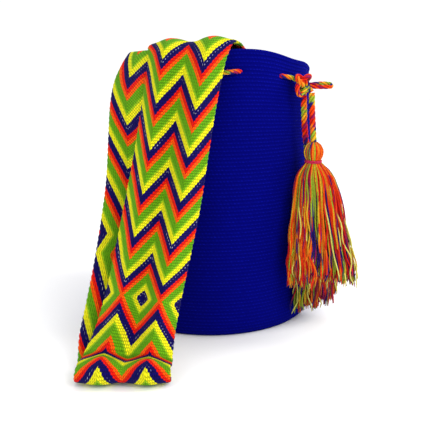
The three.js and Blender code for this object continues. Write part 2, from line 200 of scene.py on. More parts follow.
# How far a zigzag climbs in a quarter of the strap's width, at each length along it.
ZIGZAG_RISE = [(333, 32.5), (372, 28), (422, 29), (448, 32.5)]
# The weave is drawn out of square. Each pair is a length along the strap and a share of the rise:
# longer at one edge above the nose, and shallower in the middle below it.
EDGE_REACH = [(448, 0), (500, 0.31)]
MIDDLE_LOSS = [(280, 0.5), (330, 0)]
# The sharp crease above the fold at the floor.
CREASE_AT = 391
CREASE_DEPTH = 3.0
CREASE_WIDTH = 3.5

STRAND_RADIUS = 0.82
STRAND_SIDES = 5
# Shares of a tassel's strands: over the head, loose and wavy, pale among those, cut short.
HEAD_SHARE = 0.45
STRAY_SHARE = 0.13
PALE_SHARE = 0.6
SHORT_SHARE = 0.12
BINDING_RADIUS = 8.15
BINDING_THREAD_RADIUS = 0.62
BINDING_TURNS = 3.6
BINDING_CROSSING = 0.8  # the turn's part that crosses back over the others
BINDING_HALF_HEIGHT = 1.2


def srgb(r, g, b):
    """An 8-bit screen colour as linear light."""
    def one(c):
        c /= 255
        return c / 12.92 if c <= 0.04045 else ((c + 0.055) / 1.055) ** 2.4
    return (one(r), one(g), one(b), 1.0)


BAG_BLUE = srgb(2, 4, 104)
# The lighter blue of the painted highlight on the stitches' tops.
BAG_BLUE_HIGHLIGHT = srgb(10, 18, 150)
STRAP_NAVY = srgb(8, 0, 88)
STRAP_YELLOW = srgb(238, 232, 24)
STRAP_LIME = srgb(150, 196, 24)
STRAP_GREEN = srgb(98, 164, 12)
STRAP_ORANGE = srgb(255, 92, 4)
STRAP_RED = srgb(232, 20, 4)
FLECK = srgb(205, 205, 225)
# The first rib of each colour in one repeat, and the one navy rib that has pale flecks in it.
STRAP_BANDS = [
    (0, STRAP_NAVY), (4, STRAP_YELLOW), (7, STRAP_LIME),
    (8, STRAP_GREEN), (12, STRAP_ORANGE), (14, STRAP_RED),
]
FLECKED_RIB = 2
THREAD_NAVY = srgb(20, 24, 120)
BINDING_PINK = srgb(206, 40, 84)
YARN = {
    "red": srgb(222, 22, 16), "scarlet": srgb(250, 62, 4), "orange": srgb(255, 122, 16),
    "amber": srgb(246, 184, 36), "lime": srgb(158, 182, 44), "pale": srgb(242, 232, 112),
    "navy": srgb(36, 18, 112), "magenta": srgb(156, 16, 84),
}
# The order of the colours along the dyed yarn, and how long each lasts.
YARN_ORDER = [
    "red", "scarlet", "orange", "lime", "navy", "magenta", "red", "scarlet", "amber", "orange",
    "scarlet", "red", "navy", "lime", "amber", "scarlet", "red", "magenta", "orange", "lime", "navy",
]
YARN_STRETCH = 38  # length of each colour along a yarn
PLIES = 4
PLY_PITCH = 21.0  # length in which a cord's yarns go once round it
PLY_DEPTH = 0.42  # share of the cord's radius
GROOVE_SHADE = 0.14  # how much light is left at the bottom of a groove
CORD_SIDES = 32
CORD_STEP = 0.6
CORD_SHADE = 0.98
KNOT_SHADE = 0.95
PLY_DYE_STEP = 5.4  # how many colours apart neighbouring yarns start
CORD_DYE_SPEED = 5.0  # how much faster the dye changes along a twisted cord than along a loose strand


# ---------- shapes in numbers ----------


def smooth_line(points, per_stretch):
    """Centripetal Catmull-Rom line through rows of numbers, sampled per_stretch times in each stretch."""
    p = np.asarray(points, float)
    p = np.vstack([2 * p[0] - p[1], p, 2 * p[-1] - p[-2]])
    out = []
    for i in range(1, len(p) - 2):
        p0, p1, p2, p3 = p[i - 1:i + 3]
        d0, d1, d2 = (max(np.sum((b - a) ** 2), 1e-16) ** 0.25 for a, b in ((p0, p1), (p1, p2), (p2, p3)))
        d1 = d1 if d1 > 1e-4 else 1.0
        d0 = d0 if d0 > 1e-4 else d1
        d2 = d2 if d2 > 1e-4 else d1
        t1 = ((p1 - p0) / d0 - (p2 - p0) / (d0 + d1) + (p2 - p1) / d1) * d1
        t2 = ((p2 - p1) / d1 - (p3 - p1) / (d1 + d2) + (p3 - p2) / d2) * d1
        last = i == len(p) - 3
        t = np.linspace(0, 1, per_stretch + 1)[: None if last else -1, None]
        c2, c3 = -3 * p1 + 3 * p2 - 2 * t1 - t2, 2 * p1 - 2 * p2 + t1 + t2
        out.append(p1 + t1 * t + c2 * t**2 + c3 * t**3)
    return np.vstack(out)


def lengths_along(line):
    """The length from a line's start to each of its points."""
    steps = np.linalg.norm(np.diff(line, axis=0), axis=1)
    return np.concatenate([[0], np.cumsum(steps)])


def evenly(line, step):
    """The same line with points about step apart."""
    s = lengths_along(line)
    n = max(2, int(round(s[-1] / step)) + 1)
    at = np.linspace(0, s[-1], n)
    return np.stack([np.interp(at, s, line[:, k]) for k in range(line.shape[1])], axis=1), at


def frames_along(line):
    """Two directions across a line at each point, carried along it without twisting."""
    tangent = np.gradient(line, axis=0)
    tangent /= np.linalg.norm(tangent, axis=1)[:, None]
    first = np.cross(tangent[0], (0.31, 0.87, 0.38))
    first /= np.linalg.norm(first)
    a = [first]
    for t in tangent[1:]:
        v = a[-1] - t * np.dot(a[-1], t)
        a.append(v / np.linalg.norm(v))
    a = np.array(a)
    return a, np.cross(tangent, a)


def quads_of_grid(rows, columns, closed=False, first=0, flip=False):
    """The quads of a grid of points numbered along its rows; closed joins the last column to the first."""
    r = np.arange(rows - 1)[:, None]
    c = np.arange(columns if closed else columns - 1)[None, :]
    n = (c + 1) % columns
    q = np.stack([r * columns + c, r * columns + n, (r + 1) * columns + n, (r + 1) * columns + c], axis=-1)
    q = q.reshape(-1, 4) + first
    return q[:, ::-1] if flip else q


def make_mesh(name, points, quads, fans=(), attributes=None, colours=None):
    """A mesh object from points in millimetres; fans are rings to be closed round a middle point."""
    triangles = []
    for ring, middle in fans:
        triangles += [(ring[i], ring[(i + 1) % len(ring)], middle) for i in range(len(ring))]
    triangles = np.asarray(triangles, np.int32).reshape(-1, 3)
    quads = np.asarray(quads, np.int32).reshape(-1, 4)
    mesh = bpy.data.meshes.new(name)
    points = np.asarray(points, np.float64) * MM
    mesh.vertices.add(len(points))
    mesh.vertices.foreach_set("co", points.astype(np.float32).ravel())
    mesh.loops.add(quads.size + triangles.size)
    corners = np.concatenate([quads.ravel(), triangles.ravel()])
    mesh.loops.foreach_set("vertex_index", corners.astype(np.int32))
    mesh.polygons.add(len(quads) + len(triangles))
    starts = np.concatenate([np.arange(len(quads)) * 4, quads.size + np.arange(len(triangles)) * 3])
    mesh.polygons.foreach_set("loop_start", starts.astype(np.int32))
    mesh.polygons.foreach_set("use_smooth", np.ones(len(starts), bool))
    mesh.update(calc_edges=True)
    for label, values in (attributes or {}).items():
        layer = mesh.attributes.new(label, "FLOAT", "POINT")
        layer.data.foreach_set("value", np.asarray(values, np.float32).ravel())
    # The colour attribute holds the yarns' dye together with any painted shade the cords and tassels carry.
    if colours is not None:
        layer = mesh.color_attributes.new("dye", "FLOAT_COLOR", "POINT")
        layer.data.foreach_set("color", np.asarray(colours, np.float32).ravel())
    piece = bpy.data.objects.new(name, mesh)
    bpy.context.scene.collection.objects.link(piece)
    return piece


def yarn_colour(position, shade=1.0):
    """The dye at each position along a many-coloured yarn, with short blends between colours."""
    order = np.array([YARN[c] for c in YARN_ORDER])
    at = np.asarray(position) / YARN_STRETCH
    here = np.floor(at).astype(int)
    blend = np.clip((at - here - 0.8) / 0.2, 0, 1)[..., None]
    colour = order[here % len(order)] * (1 - blend) + order[(here + 1) % len(order)] * blend
    colour[..., :3] *= shade
    return colour


def ply_phase(along, turn, pitch):
    """How far round each point of a twisted cord is from its first yarn, which winds with the length."""
    return turn[None, :] - along[:, None] / pitch * 2 * math.pi


def tube(line, radius, sides, plies=0, pitch=1.0, depth=0.0, taper=False):
    """Points, quads and end fans of a tube along a line, shaped as twisted yarns if it has plies."""
    a, b = frames_along(line)
    along = lengths_along(line)
    turn = np.arange(sides) / sides * 2 * math.pi
    lobe = np.ones((len(line), sides))
    if plies:
        lobe = np.abs(np.cos(ply_phase(along, turn, pitch) * plies / 2))
        lobe = 1 - depth + depth * np.sqrt(lobe)
    size = np.full(len(line), float(radius))
    if taper:
        size[-1] *= 0.45
    reach = size[:, None] * lobe
    points = (
        line[:, None, :]
        + a[:, None, :] * (np.cos(turn)[None, :] * reach)[..., None]
        + b[:, None, :] * (np.sin(turn)[None, :] * reach)[..., None]
    ).reshape(-1, 3)
    quads = quads_of_grid(len(line), sides, closed=True)
    n = len(points)
    points = np.vstack([points, line[0], line[-1]])
    fans = [(list(range(sides))[::-1], n), (list(range(n - sides, n)), n + 1)]
    return points, quads, fans, along, turn


def twisted_cord(name, line, radius, start, shade):
    """A cord of twisted many-coloured yarns, with painted shade darkening the grooves between them."""
    line, _ = evenly(np.asarray(line, float), CORD_STEP)
    points, quads, fans, along, turn = tube(
        line, radius, CORD_SIDES, plies=PLIES, pitch=PLY_PITCH, depth=PLY_DEPTH
    )
    phase = ply_phase(along, turn, PLY_PITCH)
    strand = np.floor(phase / (2 * math.pi) * PLIES + 0.5) % PLIES
    position = along[:, None] * CORD_DYE_SPEED + strand * PLY_DYE_STEP * YARN_STRETCH + start
    dye = yarn_colour(position, shade)
    # Painted shade: the dye is darkened towards the grooves between the yarns.
    groove = np.abs(np.cos(phase * PLIES / 2))
    dye[..., :3] *= (GROOVE_SHADE + (1 - GROOVE_SHADE) * groove**0.6)[..., None]
    dye = dye.reshape(-1, 4)
    dye = np.vstack([dye, dye[0], dye[-1]])
    return make_mesh(name, points, quads, fans, colours=dye)


def rim_dip(angle):
    """How far the rim sinks at an angle in degrees."""
    total = np.zeros_like(np.asarray(angle, float))
    for middle, reach, depth in RIM_DIPS:
        apart = np.abs((angle - middle + 180) % 360 - 180)
        total += np.where(apart < reach, depth * np.cos(np.radians(90 * apart / reach)) ** 2, 0)
    return total


def rim_height(angle):
    """The rim's height at an angle."""
    return RIM_HEIGHT - rim_dip(angle)


def wall_points(height, radius, angle):
    """Points of the bag's wall at heights and radii (rows) and angles (columns)."""
    height, radius, angle = np.broadcast_arrays(height, radius, angle)
    lift = np.clip((height - STRAIGHT_HEIGHT) / (RIM_HEIGHT - STRAIGHT_HEIGHT), 0, None)
    ease = np.clip(lift / 0.6, 0, 1)
    shift = RIM_SHIFT_X * ease**2 * (3 - 2 * ease)
    turn = np.radians(angle)
    return np.stack(
        [shift + radius * np.sin(turn), -radius * np.cos(turn), height - lift * rim_dip(angle)], axis=-1
    )


def on_rim_circle(angle, radius, height):
    """A point on a circle round the middle of the mouth."""
    turn = np.radians(angle)
    return np.stack(
        [RIM_SHIFT_X + radius * np.sin(turn), -radius * np.cos(turn), height + 0 * turn], axis=-1
    )


def eyelet_angles():
    """The eyelets' angles round the bag, and the angle between them."""
    first = KNOT_ANGLE - FIRST_EYELET_FROM_KNOT
    pitch = (360 - 2 * FIRST_EYELET_FROM_KNOT) / (EYELETS - 1)
    return first - pitch * np.arange(EYELETS), pitch


# ---------- camera and cords ----------


def add_camera():
    """The camera looks a little down on the bag from its front."""
    camera = bpy.data.objects.new("camera", bpy.data.cameras.new("camera"))
    bpy.context.scene.collection.objects.link(camera)
    camera.location = (0.0045, -0.767, 0.29)
    camera.rotation_euler = (math.radians(90 - 13.7), 0, 0)
    camera.data.lens = 56.3
    camera.data.clip_start = 0.05
    bpy.context.scene.camera = camera


def add_tassel_cord(name, tassel, material, start):
    """A free end of the drawstring, which hangs from the knot to its tassel."""
    route = tassel["route"]
    line = smooth_line(route, 12)
    piece = twisted_cord(f"{name}_cord_twist", line, HANGING_CORD_RADIUS, start, CORD_SHADE)
    finish_piece(piece, material, name, "cord_yarn", f"{name}_cord")


def drawstring_line():
    """The drawstring from the knot, in and out of the eyelets round the bag, back to the knot."""
    first, pitch = eyelet_angles()
    loose = 360 - 2 * FIRST_EYELET_FROM_KNOT
    steps = 56
    points = [KNOT_CENTRE]
    for i in range(steps + 1):
        along = -0.3 * pitch + (loose + 0.6 * pitch) * i / steps
        angle = first[0] - along
        side = np.clip(-WEAVE_SHARPNESS * math.sin(math.pi * along / pitch), -1, 1)
        radius = CORD_ROW_RADIUS + WEAVE_OFFSET * side
        points.append(tuple(on_rim_circle(angle, radius, rim_height(angle) - CORD_ROW_BELOW_RIM)))
    points.append((KNOT_CENTRE[0], KNOT_CENTRE[1] + 1, KNOT_CENTRE[2] - 1))
    return smooth_line(points, 8)


def knot_axes():
    """The knot's sideways and outwards directions."""
    turn = math.radians(KNOT_TURN)
    return (
        np.array([math.cos(turn), math.sin(turn), 0]),
        np.array([math.sin(turn), -math.cos(turn), 0]),
    )


def knot_line():
    """The drawstring's knot: one closed curve that crosses itself three times."""
    t = np.linspace(0, 2 * math.pi, 97)[:-1] + 0.35
    across = np.sin(t) + 2 * np.sin(2 * t)
    up = np.cos(t) - 2 * np.cos(2 * t)
    out = -np.sin(3 * t)
    sideways, outwards = knot_axes()
    aside, proud, raised = KNOT_SHIFT
    wide, deep, tall = KNOT_SPREAD
    centre = np.array(KNOT_CENTRE) + outwards * proud + sideways * aside + np.array([0, 0, raised])
    line = centre + across[:, None] * wide * sideways + out[:, None] * deep * outwards
    line[:, 2] += up * tall
    return np.vstack([line, line[:1]])


def knot_loop_line():
    """The small slack loop that stands out of the knot, low on the bag's side."""
    centre = np.array(KNOT_CENTRE)
    sideways, outwards = knot_axes()
    steps = [centre + sideways * a + outwards * c + np.array([0, 0, b]) for a, b, c in KNOT_LOOP]
    return smooth_line(steps, 8)


def add_drawstring(material):
    """The held cord through the eyelets, with its knot, two loops and the tails to the tassel cords."""
    side_loop = smooth_line(SIDE_LOOP_ROUTE, 10)
    pieces = [
        twisted_cord("drawstring_run", drawstring_line(), HELD_CORD_RADIUS, 40, CORD_SHADE),
        twisted_cord("drawstring_knot", knot_line(), KNOT_RADIUS, 310, KNOT_SHADE),
        twisted_cord("drawstring_knot_loop", knot_loop_line(), KNOT_LOOP_RADIUS, 160, KNOT_SHADE),
        twisted_cord("drawstring_side_loop", side_loop, SIDE_LOOP_RADIUS, 12, KNOT_SHADE),
    ]
    for name, route in KNOT_TAILS.items():
        line = smooth_line(route, 8)
        pieces.append(twisted_cord(f"drawstring_{name}_tail", line, TAIL_RADIUS, 95, KNOT_SHADE))
    for piece in pieces:
        finish_piece(piece, material, "bag", "cord_yarn", "drawstring")


def finish_piece(piece, material, body, slot, *nodes):
    """Give a piece its material, attach it to its body and hide the CAD nodes it stands for. slot is not
    used.
    """
    piece.data.materials.append(material)
    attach(piece, body)
    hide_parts(*nodes)


# ---------- materials ----------


class Nodes:
    """Short calls for building one material's nodes."""

    def __init__(self, name, roughness, sheen=0.0, specular=0.3):
        self.material = bpy.data.materials.new(name)
        self.material.use_nodes = True
        self.tree = self.material.node_tree
        self.shader = self.tree.nodes["Principled BSDF"]
        self.shader.inputs["Roughness"].default_value = roughness
        self.shader.inputs["Sheen Weight"].default_value = sheen
        self.shader.inputs["Sheen Roughness"].default_value = 0.5
        self.shader.inputs["Specular IOR Level"].default_value = specular

    def add(self, kind, **settings):
        node = self.tree.nodes.new(kind)
        for key, value in settings.items():
            setattr(node, key, value)
        return node

    def link(self, source, target):
        self.tree.links.new(source, target)

    def value(self, name):
        return self.add("ShaderNodeAttribute", attribute_name=name).outputs["Fac"]

    def colour(self, name):
        return self.add("ShaderNodeAttribute", attribute_name=name).outputs["Color"]

    def maths(self, operation, a, b=None, c=None):
        node = self.add("ShaderNodeMath", operation=operation)
        for socket, item in zip(node.inputs, (a, b, c)):
            if item is None:
                continue
            if hasattr(item, "is_linked"):
                self.link(item, socket)
            else:
                socket.default_value = item
        return node.outputs[0]

    def mix(self, factor, a, b):
        node = self.add("ShaderNodeMix", data_type="RGBA")
        for socket, item in zip((node.inputs[0], node.inputs[6], node.inputs[7]), (factor, a, b)):
            if hasattr(item, "is_linked"):
                self.link(item, socket)
            else:
                socket.default_value = item
        return node.outputs[2]

    def noise(self, scale, detail=2.0):
        where = self.add("ShaderNodeTexCoord").outputs["Object"]
        node = self.add("ShaderNodeTexNoise")
        node.inputs["Scale"].default_value = scale
        node.inputs["Detail"].default_value = detail
        self.link(where, node.inputs["Vector"])
        return node.outputs["Fac"]

    def spread(self, value, low, high):
        node = self.add("ShaderNodeMapRange")
        self.link(value, node.inputs["Value"])
        node.inputs["From Min"].default_value = 0.3
        node.inputs["From Max"].default_value = 0.7
        node.inputs["To Min"].default_value = low
        node.inputs["To Max"].default_value = high
        return node.outputs["Result"]

    def shaded(self, colour, factor):
        """colour made lighter or darker by a number."""
        node = self.add("ShaderNodeVectorMath", operation="SCALE")
        self.link(colour, node.inputs[0])
        self.link(factor, node.inputs["Scale"])
        return node.outputs[0]

    def bump(self, height, strength, distance):
        node = self.add("ShaderNodeBump")
        node.inputs["Strength"].default_value = strength
        node.inputs["Distance"].default_value = distance
        self.link(height, node.inputs["Height"])
        self.link(node.outputs["Normal"], self.shader.inputs["Normal"])


def crochet_material():
    """Blue cotton in tight rounds, each stitch a small leaning loop: painted highlight where it catches the
    light, painted shade in the hollows between rounds.
    """
    m = Nodes("blue_crochet", roughness=0.95, sheen=0.0, specular=0.02)
    row, stitch = m.value("row"), m.value("stitch")
    ridge = m.maths("ABSOLUTE", m.maths("SINE", m.maths("MULTIPLY", row, math.pi)))
    lean = m.maths("ADD", stitch, m.maths("MULTIPLY", m.maths("FRACT", row), 0.55))
    offset = m.maths("ADD", lean, m.maths("MULTIPLY", m.maths("FLOOR", row), 0.5))
    loop = m.maths("ABSOLUTE", m.maths("SINE", m.maths("MULTIPLY", offset, math.pi)))
    bulge = m.maths("MULTIPLY", m.maths("MULTIPLY", loop, ridge), 0.5)
    height = m.maths("ADD", m.maths("MULTIPLY", ridge, 0.6), bulge)
    fibre = m.noise(2600, 3)
    # Painted highlight: the tops of the stitch loops are mixed towards a lighter blue, in random patches,
    # where they catch the light.
    top = m.maths("MULTIPLY", m.maths("POWER", ridge, 14.0), m.maths("POWER", loop, 1.2))
    patch = m.spread(m.noise(420, 2), 0.0, 1.0)
    colour = m.mix(m.maths("MULTIPLY", m.maths("MULTIPLY", top, patch), 0.85), BAG_BLUE, BAG_BLUE_HIGHLIGHT)
    # Painted shade: the colour darkens from the ridges of the rounds into the hollows between them, on top of
    # a random change of tone.
    painted_hollow_shade = m.maths("ADD", m.maths("MULTIPLY", height, 0.14), 0.86)
    shade = m.maths("MULTIPLY", m.spread(m.noise(9, 3), 0.9, 1.1), painted_hollow_shade)
    m.link(m.shaded(colour, shade), m.shader.inputs["Base Color"])
    m.bump(m.maths("ADD", height, m.maths("MULTIPLY", fibre, 0.3)), 0.55, 0.0006)
    return m.material


def strap_material():
    """Cotton woven in slanting ribs whose colours follow the zigzags, with each rib's ply showing and painted
    shade in the grooves between ribs and plies.
    """
    m = Nodes("zigzag_weave", roughness=0.85, sheen=0.03, specular=0.08)
    rib_width = PATTERN_PERIOD / PATTERN_RIBS
    ribs = m.maths("DIVIDE", m.maths("ADD", m.value("pattern"), EYE_OFFSET), rib_width)
    wander = m.maths("MULTIPLY", m.maths("SUBTRACT", m.noise(480, 1), 0.5), 0.5)
    across = m.maths("MULTIPLY", m.value("across"), PLIES_ACROSS)
    teeth = m.maths("MULTIPLY", m.maths("SUBTRACT", m.maths("FRACT", across), 0.5), 0.55)
    ribs = m.maths("ADD", ribs, m.maths("ADD", wander, teeth))
    index = m.maths("FLOOR", ribs)
    turn = m.maths("FRACT", m.maths("DIVIDE", m.maths("ADD", index, 0.5), PATTERN_RIBS))
    ramp = m.add("ShaderNodeValToRGB")
    ramp.color_ramp.interpolation = "CONSTANT"
    stops = ramp.color_ramp.elements
    while len(stops) < len(STRAP_BANDS):
        stops.new(0.5)
    for stop, (rib, colour) in zip(stops, STRAP_BANDS):
        stop.position, stop.color = rib / PATTERN_RIBS, colour
    m.link(turn, ramp.inputs["Fac"])
    ply = m.maths("ABSOLUTE", m.maths("SINE", m.maths("MULTIPLY", across, math.pi)))
    groove = m.maths("ABSOLUTE", m.maths("SINE", m.maths("MULTIPLY", ribs, math.pi)))
    groove = m.maths("POWER", groove, 0.8)
    in_navy = m.maths("COMPARE", turn, (FLECKED_RIB + 0.5) / PATTERN_RIBS, 0.2 / PATTERN_RIBS)
    gaps = m.maths("GREATER_THAN", m.maths("MULTIPLY", ply, groove), 0.8)
    worn = m.spread(m.noise(60, 1), -0.4, 0.62)
    fleck = m.maths("MULTIPLY", m.maths("MULTIPLY", in_navy, gaps), m.maths("MAXIMUM", worn, 0.0))
    colour = m.mix(fleck, ramp.outputs["Color"], FLECK)
    # Painted shade: darker in the grooves between the ribs and between the plies, with a random change of
    # tone.
    rib_groove_shade = m.maths("ADD", m.maths("MULTIPLY", groove, 0.72), 0.34)
    ply_groove_shade = m.maths("ADD", m.maths("MULTIPLY", ply, 0.34), 0.74)
    shade = m.maths("MULTIPLY", m.maths("MULTIPLY", rib_groove_shade, ply_groove_shade), m.spread(m.noise(520, 2), 0.88, 1.1))
    m.link(m.shaded(colour, shade), m.shader.inputs["Base Color"])
    height = m.maths("ADD", m.maths("MULTIPLY", groove, 0.7), m.maths("MULTIPLY", ply, 0.35))
    m.bump(m.maths("ADD", height, m.maths("MULTIPLY", m.noise(3000, 2), 0.15)), 0.9, 0.0009)
    return m.material


def yarn_material(name, colour=None):
    """Cotton yarn: soft fibres, in one slightly uneven colour or in the mesh's own dye colours, which carry
    painted shade in the cords' grooves and over the whole rear tassel.
    """
    m = Nodes(name, roughness=0.85, sheen=0.04, specular=0.1)
    fibres = m.spread(m.noise(650, 3), 0.78, 1.12)
    uneven = m.maths("MULTIPLY", fibres, m.spread(m.noise(60, 2), 0.92, 1.06))
    if colour:
        base = m.mix(m.noise(900, 2), colour, tuple(0.6 * c for c in colour[:3]) + (1,))
    else:
        base = m.colour("dye")
    m.link(m.shaded(base, uneven), m.shader.inputs["Base Color"])
    m.bump(m.noise(2200, 3), 0.6, 0.0005)
    return m.material


def floor_material():
    """A pale floor with the faintest change of tone."""
    m = Nodes("pale_floor", roughness=0.9, specular=0.1)
    tone = m.mix(m.noise(2, 2), (0.97, 0.97, 0.97, 1), (0.95, 0.95, 0.95, 1))
    m.link(tone, m.shader.inputs["Base Color"])
    return m.material


# ---------- the strap ----------


def strap_grid(across):
    """The strap's middle surface and normals, at even steps along it and at across (0 to 1)."""
    fine = 60  # samples in each stretch between two stops
    stops = np.array(STRAP_STOPS, float)
    middle = smooth_line(stops[:, :3], fine)
    pose = smooth_line(np.stack([stops[:, 3], 50 * stops[:, 4], stops[:, 6]], 1), fine)
    ridge = np.stack([stops[:, 5], 10.0 * np.arange(len(stops)), 0 * stops[:, 5]], 1)
    ridge = smooth_line(ridge, fine)[:, 0]
    turn, fall, curl = np.radians(pose[:, 0]), pose[:, 1] / 50, pose[:, 2]
    width = np.sqrt(STRAP_WIDTH**2 - 8 * math.pi**2 * ridge**2)
    s = lengths_along(middle)
    sideways = np.stack([np.cos(turn), np.sin(turn), fall], 1)
    inwards = np.stack([-np.sin(turn), np.cos(turn), 0 * turn], 1)
    side = (2 * across - 1)[None, :, None]
    surface = middle[:, None] + sideways[:, None] * side * width[:, None, None] / 2
    surface = surface + inwards[:, None] * curl[:, None, None] * side**2
    lengthways = np.gradient(surface, axis=0)
    crossways = np.gradient(surface, across, axis=1)
    normal = np.cross(crossways, lengthways)
    normal /= np.linalg.norm(normal, axis=-1)[..., None]
    surface = surface + normal * (-ridge[:, None] * np.cos(4 * math.pi * across)[None, :])[..., None]
    rows = int(s[-1] / STRAP_ROW_STEP) + 1
    at = np.linspace(0, s[-1], rows)

    def resample(grid):
        flat = grid.reshape(len(s), -1)
        columns = [np.interp(at, s, flat[:, k]) for k in range(flat.shape[1])]
        return np.stack(columns, 1).reshape(rows, -1, 3)

    normal = resample(normal)
    return resample(surface), normal / np.linalg.norm(normal, axis=-1)[..., None], at


def strap_pattern(at, across):
    """How far into the colour repeat the strap is at lengths (rows) and across (columns)."""
    climb = np.interp(at, *np.array(PATTERN_CLIMB).T)
    rise = np.interp(at, *np.array(ZIGZAG_RISE).T)
    edge_reach = np.interp(at, *np.array(EDGE_REACH).T)
    middle_loss = np.interp(at, *np.array(MIDDLE_LOSS).T)
    zigzag = 1 - np.abs(1 - (across * 4) % 2)
    edge = np.clip(1 - across * 4, 0, 1)
    middle = np.clip(1 - np.abs(across - 0.5) * 4, 0, 1)
    zigzag = zigzag[None, :] - edge_reach[:, None] * edge[None, :] + middle_loss[:, None] * middle[None, :]
    pattern = climb[:, None] + rise[:, None] * zigzag
    for place in (0.0, 0.5, 1.0):
        apart = np.hypot((at - EYES_AT)[:, None], ((across - place) * STRAP_WIDTH)[None, :])
        pattern -= EYE_DEPTH * np.exp(-((apart / EYE_RADIUS) ** 2))
    return np.maximum(pattern, EYE_FLOOR - EYE_OFFSET)


def strap_faces(rows, columns):
    """Quads of the strap's two faces, its two edges and its two ends."""
    n = rows * columns
    quads = [quads_of_grid(rows, columns), quads_of_grid(rows, columns, first=n, flip=True)]
    along = np.arange(rows - 1) * columns
    across = np.arange(columns - 1)
    sides = [
        (along, columns, False), (along + columns - 1, columns, True),
        (across, 1, True), (across + (rows - 1) * columns, 1, False),
    ]
    for a, step, flip in sides:
        q = np.stack([a, a + step, a + step + n, a + n], 1)
        quads.append(q[:, ::-1] if flip else q)
    return np.vstack(quads)


def add_strap(material):
    """The folded strap: two ridges, toothed edges and a crease, as one closed band."""
    across = np.linspace(0, 1, STRAP_COLUMNS + 1)
    surface, normal, at = strap_grid(across)
    rows, columns = surface.shape[:2]
    edge = np.minimum(across, 1 - across) * STRAP_WIDTH
    thin = 1 - 0.62 * np.clip(1 - edge / 3.2, 0, 1) ** 2
    uneven = 0.08 * np.sin(at / 2.9)[:, None] * np.sin(across * 31)[None, :]
    half = (STRAP_THICKNESS / 2 * thin)[None, :] + uneven
    tooth = 0.75 * (np.abs(np.sin(at * math.pi / (2 * PATTERN_PERIOD / PATTERN_RIBS))) - 0.45)
    crease = CREASE_DEPTH * np.exp(-(((at - CREASE_AT) / CREASE_WIDTH) ** 2))
    surface = surface - normal * crease[:, None, None]
    sideways = np.gradient(surface, axis=1)
    sideways /= np.linalg.norm(sideways, axis=-1)[..., None]
    pull = np.zeros((rows, columns))
    pull[:, 0], pull[:, -1] = -tooth, tooth
    pull[:, 1], pull[:, -2] = -0.4 * tooth, 0.4 * tooth
    surface = surface + sideways * pull[..., None]
    outer = surface + normal * half[..., None]
    inner = surface - normal * half[..., None]
    piece = make_mesh(
        "strap_weave",
        np.vstack([outer.reshape(-1, 3), inner.reshape(-1, 3)]),
        strap_faces(rows, columns),
        attributes={
            "pattern": np.tile(strap_pattern(at, across).ravel(), 2),
            "across": np.tile(np.broadcast_to(across, (rows, columns)).ravel(), 2),
        },
    )
    finish_piece(piece, material, "bag", "strap_yarn", "shoulder_strap")


# ---------- the bag ----------


def eyelet_pull(points, toward_middle):
    """How far the wall is drawn in round each eyelet, for points of its outer or inner face."""
    angles, _ = eyelet_angles()
    total = np.zeros(points.shape[:2])
    for angle in angles:
        gap = points - on_rim_circle(angle, CORD_ROW_RADIUS, rim_height(angle) - CORD_ROW_BELOW_RIM)
        beside = (gap[..., 0] ** 2 + gap[..., 1] ** 2) / EYELET_WIDTH**2
        total += np.exp(-(beside + gap[..., 2] ** 2 / EYELET_HEIGHT**2))
    return toward_middle * np.clip(total, 0, 1)


def rim_gather(angle, height):
    """How the drawn cord lifts and pinches the rim beside the knot: (upwards, inwards)."""
    near_rim = np.clip((height - GATHERS_FROM) / GATHERS_OVER, 0, 1) ** 2
    up = sum(lift * np.exp(-(((angle - middle) / width) ** 2)) for middle, width, lift in RIM_GATHERS)
    middle, width, depth = RIM_PINCH
    pinch = depth * np.exp(-(((angle - middle) / width) ** 2))
    return up * near_rim, pinch * near_rim


def gathered(points, angle, height):
    """Points of the wall moved to where the drawn cord holds them."""
    up, pinch = rim_gather(angle, height)
    turn = np.radians(angle)
    moved = np.stack([-pinch * np.sin(turn), pinch * np.cos(turn), up], -1)
    return points + moved


def wall_wave(angle, height):
    """The slight unevenness of a soft wall."""
    turn = np.radians(angle)
    return (
        0.45 * np.sin(3 * turn + 1.1 + height / 70) + 0.3 * np.sin(7 * turn - height / 43)
        + 0.18 * np.sin(13 * turn + height / 21)
    ) * np.clip(height / 30, 0, 1)


def add_shell(name, material, grid, rows_at, middle, inside):
    """One face of the bag from rings of points, closed at the base's middle."""
    rings = len(grid)
    stitch = np.broadcast_to(np.linspace(0, STITCHES_ROUND, BAG_COLUMNS + 1)[:-1], (rings, BAG_COLUMNS))
    points = np.vstack([grid.reshape(-1, 3), [[0, 0, middle]]])
    centre_ring = list(range(BAG_COLUMNS))
    piece = make_mesh(
        name,
        points,
        quads_of_grid(rings, BAG_COLUMNS, closed=True, flip=inside),
        [(centre_ring if inside else centre_ring[::-1], len(points) - 1)],
        attributes={
            "row": np.append(np.repeat(rows_at, BAG_COLUMNS), -30),
            "stitch": np.append(stitch.ravel(), 0),
        },
    )
    finish_piece(piece, material, "bag", "bag_yarn", "bag_body")


